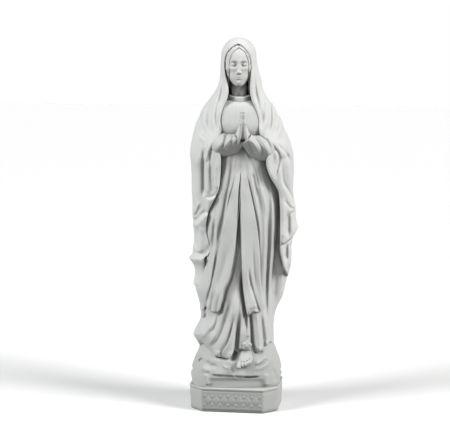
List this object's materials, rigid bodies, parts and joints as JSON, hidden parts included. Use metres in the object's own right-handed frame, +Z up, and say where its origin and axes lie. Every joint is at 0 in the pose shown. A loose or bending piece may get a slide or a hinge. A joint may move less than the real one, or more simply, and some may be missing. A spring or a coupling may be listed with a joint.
{
  "type": "madonna statue",
  "caption": "Standing madonna in matte white bisque, hands in prayer, long veil and mantle over a girdled gown, on a rock and a chamfered plinth.",
  "frame": {"origin": "on the surface the statue stands on, under the middle of its outline seen from above", "axes": "+Z up through the statue, -Y out of the plinth's front with its tablet, +X to the viewer's right"},
  "size_m": [0.135, 0.0949, 0.47],
  "materials": {
    "bisque_gown": "matte",
    "bisque_mantle": "matte",
    "bisque_skin": "matte",
    "bisque_base": "matte"
  },
  "bodies": {
    "root": {"plinth": "bisque_base", "front_tablet": "bisque_base", "rock_mound": "bisque_base", "gown_skirt": "bisque_gown", "gown_bodice": "bisque_gown", "collar": "bisque_gown", "head": "bisque_skin", "hair": "bisque_skin", "mantle": "bisque_mantle", "mantle_right_fall": "bisque_mantle", "mantle_left_fall": "bisque_mantle", "right_sleeve": "bisque_gown", "left_sleeve": "bisque_gown", "right_hand": "bisque_skin", "left_hand": "bisque_skin", "sash_band": "bisque_gown", "sash_knot": "bisque_gown", "sash_right_tail": "bisque_gown", "sash_left_tail": "bisque_gown", "left_foot": "bisque_skin", "rose": "bisque_gown"}
  },
  "joints": []
}
